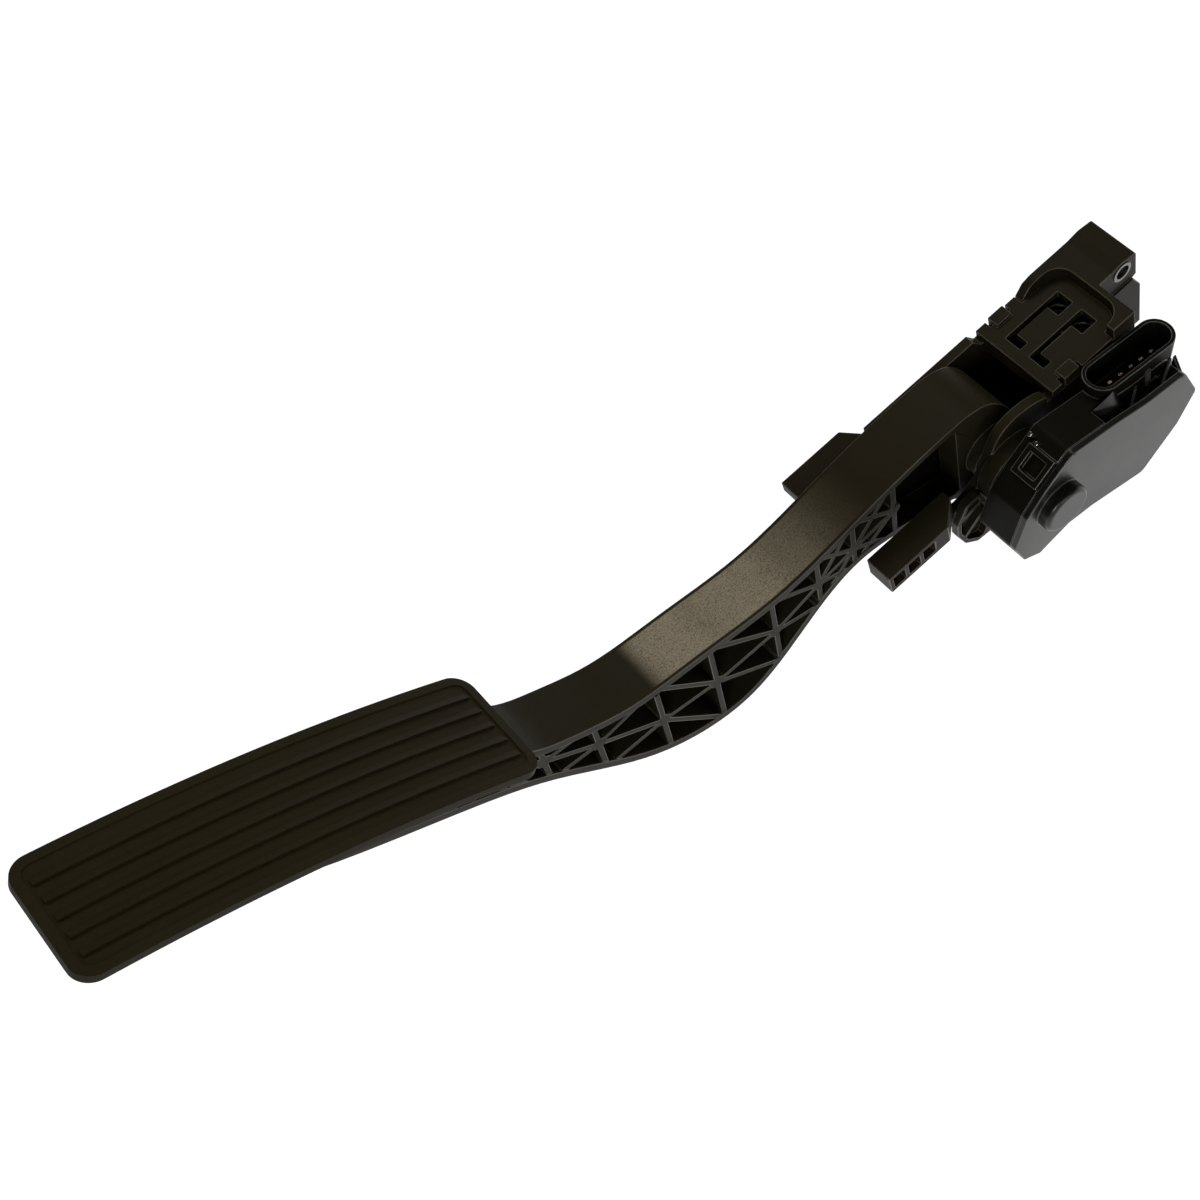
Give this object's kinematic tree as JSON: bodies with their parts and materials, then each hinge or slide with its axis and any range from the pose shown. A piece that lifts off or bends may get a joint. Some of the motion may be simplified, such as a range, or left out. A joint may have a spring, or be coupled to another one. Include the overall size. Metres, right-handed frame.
{
  "type": "accelerator pedal sensor",
  "caption": "Electronic accelerator pedal: ribbed lattice arm with a long beaded pad, hinged in a moulded housing with return springs and a position sensor with an upright connector.",
  "frame": {"origin": "midway between the two mounting bolt axes, on the plane of the far ends of their sleeves", "axes": "+X along the pedal from the pad to the housing, +Y along the mounting bolts away from the position sensor, +Z towards the driver"},
  "size_m": [0.3672, 0.0696, 0.1912],
  "materials": {
    "moulding": "satin moulded",
    "pad_rubber": "matte",
    "sensor_moulding": "satin moulded",
    "steel": "bright",
    "spring_steel": "drawn wire",
    "acetal": "natural",
    "stop_rubber": "matte",
    "board": "solder mask",
    "chip": "moulded",
    "terminal": "plated",
    "magnet": "ferrite grey"
  },
  "bodies": {
    "base": {"housing": "moulding", "spring_cover": "moulding", "upper_sleeve": "steel", "lower_sleeve": "steel", "left_bush": "acetal", "right_bush": "acetal", "friction_shoe": "acetal", "idle_stop": "stop_rubber", "return_spring_left": "spring_steel", "return_spring_right": "spring_steel", "sensor_case": "sensor_moulding", "sensor_cover": "sensor_moulding", "circuit_board": "board", "hall_chips": "chip", "connector_terminals": "terminal"},
    "pedal": {"pedal_arm": "moulding", "pad_cover": "pad_rubber", "pivot_shaft": "steel", "shaft_clip": "steel", "sensor_rotor": "acetal", "rotor_magnet": "magnet", "spring_seats": "acetal"}
  },
  "joints": [
    {"name": "pedal_pivot", "type": "hinge", "parent": "base", "child": "pedal", "pos_m": [-0.04025, -0.0158, 0.0114], "axis": [0, -1, 0], "range_deg": [0, 14], "stiffness_Nm_per_rad": 20, "springref_deg": -14.32, "deforming": ["return_spring_left", "return_spring_right"]}
  ]
}
